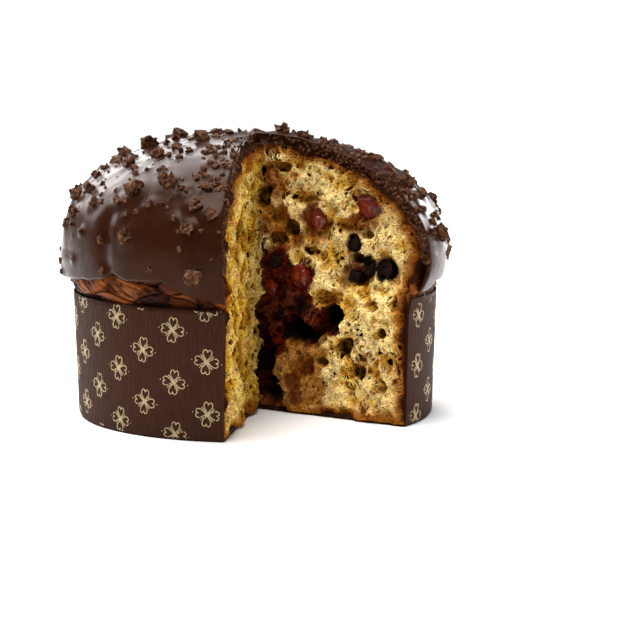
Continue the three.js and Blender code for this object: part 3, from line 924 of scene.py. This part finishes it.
def build_crumb_face(name, side, voxel):
    """The open crumb of a cut, a slab of foam on a solid back."""
    outline = crumb_outline(side)
    r_line = np.arange(-BEYOND_AXIS, outline[0].max() + 2 * voxel, voxel)
    z_line = np.arange(PAPER + FOOT_RISE - 2 * voxel, outline[1].max() + 2 * voxel, voxel)
    depth_line = np.arange(-PROUD_SPACE, SLAB + 2 * voxel, voxel)
    r, z = np.meshgrid(r_line, z_line, indexing="ij")
    from_edge = edge_distance(np.abs(r), z, outline)
    under = depth_line[None, None, :] + face_proud(r, z, side)[0][:, :, None]
    field = np.maximum(foam(r[:, :, None], z[:, :, None], depth_line, side, from_edge), under - FOAM_DEPTH)
    field = np.maximum(field, depth_line - SLAB + 1.5)
    field = np.minimum(np.minimum(field, under), from_edge[:, :, None])
    field = np.minimum(field, SLAB - depth_line)
    signed = -np.clip(field, -BAND, BAND)
    signed[[0, -1]] = signed[:, [0, -1]] = BAND
    signed[:, :, [0, -1]] = BAND
    grid = openvdb.FloatGrid(BAND)
    grid.copyFromArray(signed.astype(np.float32))
    points, triangles, quads = grid.convertToPolygons(isovalue=0.0, adaptivity=0.05)
    halves = [triangles.reshape(-1, 3), quads[:, [0, 1, 2]], quads[:, [0, 2, 3]]]
    points, triangles = main_part(points, np.concatenate(halves).astype(int))
    r, z, depth = (line[0] + steps * voxel for line, steps in zip((r_line, z_line, depth_line), points.T))
    if side == LEFT:
        triangles = triangles[:, ::-1]
    piece = mesh_piece(name, cut_points(r, z, side, -depth), triangles, CRUMB, "crumb",
                       tone=crumb_tone(r, z, depth, side, outline))
    thin_out(piece, MOST_CRUMB_TRIANGLES)
    return piece


def right_layers(r, z, lift, patches, place, seed):
    """The marbling, the amber and the dark red zones of the right cut, both partly painted shade of the
    wedge's deep corner, painted crevice shade in the red zone, and the stains round its pieces.
    """
    marbled = np.zeros(len(r))
    for at_r, at_z, reach in MARBLED:
        marbled = np.maximum(marbled, fade(np.hypot(r - at_r, z - at_z) - 7 * patches, 0.45 * reach, reach))
    amber_and_shade_share = zone_share(r, z, AMBER_AND_SHADE_ZONE, 6) + 0.8 * patches
    red_and_shade_share = zone_share(r, z, RED_AND_SHADE_ZONE, 6) + 0.55 * patches
    # Painted shade: near-black blots stand for the shaded crevices of the red zone.
    crevice_shade = fractal(place, 6, 3, seed + 14)
    layers = [
        (AMBER, 0.85 * smooth(amber_and_shade_share, 0.2, 0.7)),
        (TOAST, 0.9 * marbled * smooth(patches + lift * 0.1, -0.3, 0.1)),
        (RED_BROWN, 0.8 * smooth(amber_and_shade_share - 1.6 * patches, 0.3, 0.9) * smooth(-patches, -0.1, 0.25)),
        (RED_BROWN, 0.97 * smooth(red_and_shade_share, 0.35, 0.6)),
        (SPECK, 0.9 * smooth(red_and_shade_share, 0.45, 0.65) * smooth(crevice_shade, 0.0, 0.25)),
    ]
    for at_r, at_z in FRUIT + CHOCOLATE:
        near = fade(np.hypot(r - at_r, z - at_z), 7, 12)
        layers.append((RED_BROWN, 0.8 * near * smooth(patches, -0.25, 0.2)))
    for spot, size in zip(CHOCOLATE, CHOCOLATE_SIZES):
        layers.append((SPECK, fade(spot_distance(r, z, spot, size) + 0.9 * patches, 0.95, 1.25)))
    return layers


def crumb_tone(r, z, depth, side, outline):
    """Colour of the crumb: pale at the face, with painted shade that darkens the pores and hollows by their
    depth, and browner near the crust.
    """
    seed = 300 if side == RIGHT else 400
    place = np.stack([r, z, depth], -1)
    proud, dark = face_proud(r, z, side)
    under = depth + proud
    patches = fractal(place, 9, 3, seed + 8)
    lift = proud + 1.2 * patches
    # Painted shade: yellow, amber and brown the deeper a point lies under the torn face and the lower the
    # face lies; the last layer is random patches.
    layers = [
        (YELLOW, smooth(under + 0.8 * patches, 0.5, 1.8)),
        (YELLOW, fade(lift, -1.8, 0.6)),
        (AMBER, 0.8 * fade(lift, -3.6, -1.5)),
        (AMBER, 0.9 * smooth(under, 1.0, 2.3)),
        (BROWN, 0.95 * smooth(under, 1.9, 3.7)),
        (AMBER, 0.5 * smooth(patches, 0.28, 0.6)),
    ]
    if side == RIGHT:
        layers += right_layers(r, z, lift, patches, place, seed)
    # Painted shade: the caves turn near-black on the right cut and brown on the left.
    cave_shade_colour, speck_share = (SPECK, 0.62) if side == RIGHT else (BROWN, 0.7)
    nearest, _, draw = cells(r + 0.6 * depth, z - 0.5 * depth, 3.4, seed + 9)
    tone = painted(np.zeros((len(r), 3)) + CREAM, layers + [
        (cave_shade_colour, dark * smooth(under + 3 * patches, -1.5, 1.0)),
        (SPECK, fade(nearest, 0.07, 0.09 + 0.26 * draw ** 3) * (draw > speck_share)),
    ])
    if side == LEFT:
        rust = fractal(place * np.array([1.4, 0.7, 1]), 10, 3, seed + 13)
        tone = tone * mix(LEFT_TINT, LEFT_TINT_PALE, smooth(-rust, -0.1, 0.3)[:, None])
        tone = painted(tone, [(TOAST, 0.75 * smooth(rust + 0.5 * patches, 0.18, 0.42))])
    wander = 2.2 * fractal(place, 7, 3, seed + 10)
    wide = 1 + 0.9 * smooth(z, 70, 115) if side == LEFT else 1 + 0.4 * smooth(r, 60, 95)
    from_edge = edge_distance(np.abs(r), z, outline)
    from_crust = (from_edge + wander + 2.4 * fractal(place, 16, 2, seed + 12)) / wide
    return painted(tone, [
        (AMBER, 0.85 * fade(from_crust, 2.4, 8)),
        (TOAST, 0.9 * fade(from_crust, 1.3, 4.4)),
        (BROWN, fade(from_crust, 0.3, 2.3)),
        (AMBER, 0.7 * fade(z + wander, 1.5, 4.5)),
    ])


def foam_direction(r, z, side):
    """Angle of the fibres in a patch of the foam, and the patch's draw."""
    seed = 700 if side == RIGHT else 800
    warp_r, warp_z = (5 * fractal(in_plane(r, z), 16, 2, seed + i) for i in range(2))
    patch = cells(r + warp_r, z + warp_z, 19, seed + 5)[2]
    return (0.4 + 2.2 * patch if side == RIGHT else 0.8 + 1.1 * patch), patch


STRAND_COUNTS = {RIGHT: 3000, LEFT: 1700}
STRAND_POINTS = 8
STRAND_SIDES = 3
PALEST_STRAND = (1.0, 0.80, 0.42)


def build_strands():
    """Torn fibres of crumb that lie on the cuts and bridge the pores."""
    parts, tones = [], []
    tube = tube_triangles(STRAND_POINTS, STRAND_SIDES)[:, ::-1]
    for side, count in STRAND_COUNTS.items():
        rng = np.random.default_rng(31 + side)
        outline = crumb_outline(side)
        r = rng.uniform(0, 104, count)
        z = rng.uniform(3, 150, count)
        keep = edge_distance(r, z, outline) > 3
        r, z = r[keep], z[keep]
        angle = foam_direction(r, z, side)[0] + rng.normal(0, 0.45, len(r))
        bend = rng.normal(0, 0.10, len(r))
        step = rng.uniform(2, 7, len(r)) / STRAND_POINTS
        thick = rng.uniform(0.14, 0.34, len(r))
        arch = rng.uniform(0, 0.7, len(r))
        at_r, at_z = [r], [z]
        for _ in range(STRAND_POINTS - 1):
            at_r.append(at_r[-1] + step * np.cos(angle))
            at_z.append(at_z[-1] + step * np.sin(angle))
            angle = angle + bend + rng.normal(0, 0.16, len(r))
        at_r, at_z = np.stack(at_r, 1), np.stack(at_z, 1)
        t = np.linspace(0, 1, STRAND_POINTS)[None, :]
        face, _ = face_proud(at_r, at_z, side)
        taut = mix(face[:, :1], face[:, -1:], t)
        proud = mix(face, np.maximum(taut, face), 0.45) + arch[:, None] * np.sin(math.pi * t) - 0.25
        held = (edge_distance(at_r, at_z, outline) > 1.5) & (cave_depth(at_r, at_z, side)[0] < 1)
        inside = held.all(1)
        at_r, at_z, proud, thick = at_r[inside], at_z[inside], proud[inside], thick[inside]
        taper = thick[:, None] * (0.35 + 0.65 * np.sin(math.pi * np.clip(t, 0.06, 0.94)) ** 0.5)
        heading_r, heading_z = np.gradient(at_r, axis=1), np.gradient(at_z, axis=1)
        across = taper / np.hypot(heading_r, heading_z)
        rings = []
        for turn in np.arange(STRAND_SIDES) * 2 * math.pi / STRAND_SIDES:
            aside = across * math.cos(turn)
            rings.append(cut_points(at_r - heading_z * aside, at_z + heading_r * aside, side,
                                    proud + taper * math.sin(turn)))
        starts = np.arange(len(at_r))[:, None, None] * STRAND_POINTS * STRAND_SIDES
        parts.append((np.stack(rings, 2).reshape(-1, 3), (tube + starts).reshape(-1, 3)))
        pale = np.clip(rng.normal(0.45, 0.3, len(at_r)), 0, 1)[:, None, None]
        local = crumb_tone(at_r.ravel(), at_z.ravel(), -proud.ravel(), side, outline).reshape(*at_r.shape, 3)
        tone = np.minimum(local * (1.2 + 0.6 * pale), PALEST_STRAND)
        tones.append(np.repeat(tone.reshape(-1, 3), STRAND_SIDES, axis=0))
    mesh_piece("crumb_strands", *joined(parts), CRUMB, "crumb", tone=np.concatenate(tones))


def build_crumb():
    right = build_crumb_face("crumb_right_cut", RIGHT, VOXEL)
    build_crumb_face("crumb_left_cut", LEFT, 1.1 * VOXEL)
    build_strands()
    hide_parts("crumb")


CRUST_COLUMNS = 560
CRUST_THICKNESS = 1.7
# Distances round the crust are measured at this radius, and its folds repeat at about this size
CRUST_RADIUS = 102
FOLD = 30
CRUST_TONE = np.array([0.060, 0.0120, 0.0012])
PALE_CRUST = np.array([0.20, 0.052, 0.0055])
BURNT_CRUST = np.array([0.010, 0.002, 0.0005])
FOLD_SHADE_TONE = np.array([0.008, 0.0016, 0.0004])


def build_crust():
    """The browned skin of the loaf, from cut to cut and under the foot of it."""
    polar = np.concatenate([np.linspace(0, 96, 25), np.linspace(98, 180, 46)])
    share = np.linspace(0, 1, CRUST_COLUMNS)[None, :]
    foot = PAPER + FOOT_RISE
    heights = np.array([67, 50, 30, 12, foot, foot, foot])
    wall = mix(CASE_BASE_RADIUS, CASE_RIM_RADIUS, heights / CASE_HEIGHT) - PAPER - FOOT_GAP
    wall[-3] -= 1
    wall[-2:] = (50, 0)
    base_azimuth, tilt = np.broadcast_arrays(mix(RIGHT_CUT, LEFT_CUT, share), polar[:, None])
    r, z = dome(base_azimuth, tilt, crust_inset(base_azimuth, tilt) - 0.25)
    place = around(r, base_azimuth, z)
    bare = smooth(tilt - glaze_edge(base_azimuth), -6, 6)
    arc = np.radians(base_azimuth) * CRUST_RADIUS + 8 * fractal(place, 17, 2, 52)
    nearest, second, draw = cells(arc - 0.9 * z, 2.6 * z + 0.35 * arc, FOLD, 53)
    gully = fade(second - nearest, 0.0, 0.07)
    slope = (arc - 0.9 * z) / FOLD % 1
    pleats = np.abs(fractal(in_plane(arc * 0.9 + 1.6 * z, z * 0.5 - arc * 0.1), 7, 3, 51))
    streaks = fractal(in_plane(arc * 0.5, z * 3), 5, 3, 56)
    detail = bare * (2.4 * (draw - 0.5) + 1.2 * smooth(pleats, 0, 0.3) - 0.7 - 2.4 * gully
                     + 0.8 * (slope - 0.5) + 0.25 * fractal(place, 2.5, 2, 54))
    r = r + detail * sind(np.minimum(tilt, 135))
    r = np.where(z < CASE_HEIGHT + 0.8, np.minimum(r, CASE_RIM_RADIUS - PAPER - 0.4), r)
    r = np.concatenate([r, wall[:, None] + 0 * share])
    z = np.concatenate([z, heights[:, None] + 0 * share])
    azimuth = mix(right_cut(z), left_cut(z), share)
    outward = np.concatenate([sind(np.minimum(polar, 110)), np.ones(7)])[:, None]
    upward = np.concatenate([cosd(np.minimum(polar, 110)), np.zeros(4), -np.ones(3)])[:, None]
    inner_r = np.maximum(0, r - CRUST_THICKNESS * outward)
    points, triangles = shell(around(r, azimuth, z), around(inner_r, azimuth, z - CRUST_THICKNESS * upward))
    colour = 0.6 * fractal(place, 14, 3, 55) + 0.9 * (draw - 0.45) + 0.5 * (slope - 0.5)
    tone = painted(np.zeros((*tilt.shape, 3)) + CRUST_TONE, [
        (PALE_CRUST, smooth(colour + 0.3 * streaks, -0.02, 0.42)),
        (BURNT_CRUST, smooth(-colour - 0.3 * streaks, 0.22, 0.5)),
        # Painted shade: the gullies between the folds and the creases of the pleats are darkened.
        (FOLD_SHADE_TONE, np.maximum(gully, 0.8 * fade(pleats, 0.0, 0.07))),
    ])
    low = np.zeros((7, *tone.shape[1:])) + BROWN
    tone = np.concatenate([tone, low, tone, low]).reshape(-1, 3)
    mesh_piece("browned_crust", points, triangles[:, ::-1], CRUST, "crumb", tone=tone)


# Inclusions


def fruit_shape(half, rng):
    """A folded lump of peel."""
    points, triangles = ball(4)
    place = points + rng.uniform(0, 50, 3)
    folds = (1 + 0.22 * fractal(place, 1.1, 2, 61) - 0.34 * np.abs(fractal(place, 0.7, 2, 62))
             + 0.05 * fractal(place, 0.16, 2, 63))
    return points * folds[:, None] * half * 1.08, triangles


def chocolate_shape(half, rng):
    """A broken lump with smaller ones grown together with it."""
    parts = [broken_piece(half * 1.02, rng, 12, 3)]
    for _ in range(9):
        spread = unit(rng.normal(size=3)) * rng.uniform(0.4, 0.72)
        lump, triangles = broken_piece(half * rng.uniform(0.3, 0.55, 3), rng, 9, 2)
        parts.append((lump + spread * half, triangles))
    return joined(parts)


def build_inclusions():
    rng = np.random.default_rng(11)
    for prefix, sizes, shape, material, slot in (
            ("candied_fruit", FRUIT_SIZES, fruit_shape, PEEL, "candied_fruit"),
            ("chocolate_piece", CHOCOLATE_SIZES, chocolate_shape, BURIED_CHOCOLATE, "chocolate")):
        for i, (wide, high, thick) in enumerate(sizes, 1):
            node = f"{prefix}_{i}"
            middle = sum(np.array(corner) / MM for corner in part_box(node)) / 2
            points, triangles = shape(np.array([wide, thick, high]) / 2, rng)
            azimuth = float(right_cut(middle[2]))
            axes = np.array([around(1, azimuth, 0), around(1, azimuth + 90, 0), (0, 0, 1)])
            piece = mesh_piece(f"{node}_dressed", points @ axes + middle, triangles, material, slot)
            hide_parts(node)


# Paper case

FLUTE = 2.0
FLUTE_DEPTH = 0.22
UNDERSIDE = 0.02
WALL_COLUMNS = 1580
BASE_COLUMNS = 180
# Distances along the case's wall are measured at this radius
WALL_RADIUS = 101.5


def case_radius(arc, z):
    """Outer radius of the fluted wall at a distance along it."""
    straight = mix(CASE_BASE_RADIUS, CASE_RIM_RADIUS, z / CASE_HEIGHT)
    foot = 1.2 * fade(z, 0, 2.5) ** 2
    waves = 0.25 * fractal(in_plane(*np.broadcast_arrays(arc / 40, z / 60)), 1, 2, 71)
    return straight - FLUTE_DEPTH * (1 - np.cos(2 * math.pi * arc / FLUTE)) / 2 - foot + waves - 0.12


def build_case():
    heights = np.array([UNDERSIDE, 0.5, 1.2, 2.5, 6, 14, 24, 34, 44, 54, 62, 67, CASE_HEIGHT])[:, None]
    azimuth = mix(right_cut(heights), left_cut(heights), np.linspace(0, 1, WALL_COLUMNS)[None, :])
    arc = np.radians(azimuth) * WALL_RADIUS
    r = case_radius(arc, heights + 0 * arc)
    ripple = 0.35 * fractal(in_plane(arc / 9, 0 * arc), 1, 2, 72)
    z = np.minimum(heights + ripple * smooth(heights, 60, 70), CASE_HEIGHT)
    wall = shell(around(r, azimuth, z), around(r - 0.5, azimuth, z))
    turn = mix(right_cut(0.0), left_cut(0.0), np.linspace(0, 1, BASE_COLUMNS))[None, :]
    radii = np.array([0, 50, CASE_BASE_RADIUS - 1.9])[:, None]
    points, triangles = shell(around(radii, turn, PAPER), around(radii, turn, UNDERSIDE))
    case = mesh_piece("fluted_case", *joined([wall, (points, triangles[:, ::-1])]), PAPER_BROWN, "paper")
    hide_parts("paper_case")


# Ornament on the case: outlined clover leaves on a slanted lattice
CLOVER_STEP = 18.7
CLOVER_RISE = 27.8
CLOVER_SLANT = 11.7
CLOVER_REACH = 6.5
CLOVER_TURN = -8
CLOVER_START = (-26, 42.6)
LINE_WIDTH = 0.5


def leaf_outline():
    """One leaf from the centre outwards, a heart with its tip at the centre."""
    t = np.linspace(0, 2 * math.pi, 27)
    x = 16 * np.sin(t) ** 3
    y = 13 * np.cos(t) - 5 * np.cos(2 * t) - 2 * np.cos(3 * t) - np.cos(4 * t)
    return np.stack([x / 17 * 2.55, (y + 17) / 29 * (CLOVER_REACH - 0.2) + 0.2], -1)


def turned_line(line, degrees):
    c, s = cosd(degrees), sind(degrees)
    return line @ np.array([[c, s], [-s, c]])


def clover_lines():
    """Four leaves with the lines between them, and a dot on each side."""
    leaf = leaf_outline()
    stalk = np.stack([np.zeros(5), np.linspace(0.5, 5.0, 5)], -1)
    lines = []
    for quarter in range(4):
        lines.append(turned_line(leaf, 90 * quarter + CLOVER_TURN))
        lines.append(turned_line(stalk, 90 * quarter + 45 + CLOVER_TURN))
    for side in (-1, 1):
        dot = turned_line(np.array([8.1 * side, 0]), CLOVER_TURN)
        lines.append(dot + np.array([[-0.3, 0], [0.3, 0]]))
    return lines


def ribbon(line):
    """Thin closed strips along a line on the case's wall, without what leaves the wall."""
    z = line[:, 1]
    azimuth = np.degrees(line[:, 0] / WALL_RADIUS) % 360
    inside = (z > 0.8) & (z < CASE_HEIGHT - 0.6)
    inside &= (azimuth > right_cut(z) + 0.5) & (azimuth < left_cut(z) - 0.5)
    for run in np.split(np.arange(len(line)), np.flatnonzero(np.diff(inside.astype(int))) + 1):
        if len(run) < 2 or not inside[run[0]]:
            continue
        tangent = np.gradient(line[run], axis=0)
        tangent /= np.maximum(np.linalg.norm(tangent, axis=1), 1e-9)[:, None]
        normal = np.stack([-tangent[:, 1], tangent[:, 0]], -1) * LINE_WIDTH / 2
        rings = []
        for aside, lift in ((1, 0.03), (0, 0.07), (-1, 0.03), (0, -0.1)):
            arc, z = (line[run] + aside * normal).T
            turn = np.degrees(arc / WALL_RADIUS) % 360
            rings.append(around(case_radius(np.radians(turn) * WALL_RADIUS, z) + lift, turn, z))
        yield np.stack(rings, 1).reshape(-1, 3), tube_triangles(len(run), len(rings))


def build_ornament():
    lines = clover_lines()
    lowest_arc = math.radians(RIGHT_CUT_LOW - 360 - 6) * WALL_RADIUS
    parts = []
    for column in range(-2, 36):
        arc = CLOVER_START[0] - column * CLOVER_STEP
        if not lowest_arc < arc < 0:
            continue
        height = (CLOVER_START[1] - column * CLOVER_SLANT) % CLOVER_RISE
        for row, line in itertools.product(range(-1, 4), lines):
            parts += ribbon(line + np.array([arc, height + row * CLOVER_RISE]))
    mesh_piece("case_ornament", *joined(parts), GOLD, "paper")


# Stage, in metres

FLOOR_HALF = 6.0


def build_floor():
    mesh = bpy.data.meshes.new("floor")
    corners = [(x * FLOOR_HALF, y * FLOOR_HALF, 0) for x, y in ((-1, -1), (1, -1), (1, 1), (-1, 1))]
    mesh.from_pydata(corners, [], [(0, 1, 2, 3)])
    settings = {"Base Color": (0.93, 0.93, 0.93, 1), "Specular IOR Level": 0.2}
    mesh.materials.append(new_material("pale_floor", 0.6, settings)[0])
    place_object("floor", mesh)


SUN = {"energy": 3.6, "angle": math.radians(34)}
SUN_DIRECTION = (-0.12, -0.18, 0.975)
LIT_POINT = (0, 0, 0.08)
# Place, size and power of each area light
AREA_LIGHTS = {
    "back_left": ((-0.75, 1.05, 1.25), 1.9, 72),
    "right": ((1.4, -0.25, 0.5), 0.5, 6),
    "back_right": ((1.15, 1.5, 0.4), 0.7, 18),
}
HORIZON_GLOW = 1.05
SKY_GLOW = 0.14


def add_light(name, kind, direction, place, **settings):
    """A light that shines from a direction."""
    light = bpy.data.lights.new(name, kind)
    for key, value in settings.items():
        setattr(light, key, value)
    lamp = place_object(name, light)
    lamp.location = place
    lamp.rotation_euler = Vector(direction).to_track_quat("Z", "Y").to_euler()


def build_lights():
    world = bpy.data.worlds.new("studio")
    bpy.context.scene.world = world
    world.use_nodes = True
    add = node_kit(world.node_tree)
    direction = add("ShaderNodeTexCoord").outputs["Generated"]
    height = add("ShaderNodeSeparateXYZ", {"Vector": direction}).outputs["Z"]
    glow = map_range(add, height, 0.03, 0.08, HORIZON_GLOW, SKY_GLOW, interpolation_type="SMOOTHSTEP")
    background = world.node_tree.nodes["Background"]
    link(glow, background, "Strength")
    background.inputs["Color"].default_value = (1, 1, 1, 1)

    add_light("overhead", "SUN", SUN_DIRECTION, (0, 0, 0), **SUN)
    for name, (place, size, power) in AREA_LIGHTS.items():
        direction = Vector(place) - Vector(LIT_POINT)
        add_light(name, "AREA", direction, place, shape="RECTANGLE", size=size, size_y=size, energy=power)


def build_camera():
    data = bpy.data.cameras.new("camera")
    data.sensor_width = SENSOR
    data.lens = FOCAL_PIXELS * SENSOR / IMAGE_PIXELS
    camera = place_object("camera", data)
    camera.location = (0, -CAMERA_DISTANCE * MM, CAMERA_HEIGHT * MM)
    camera.rotation_euler = (math.radians(90 - CAMERA_PITCH), 0, math.radians(-CAMERA_YAW))
    bpy.context.scene.camera = camera
    bpy.context.scene.view_settings.view_transform = "Standard"


for build in (build_camera, build_floor, build_lights, build_glaze, build_cut_bits, build_chunks,
              build_crust, build_crumb, build_inclusions, build_case, build_ornament):
    build()
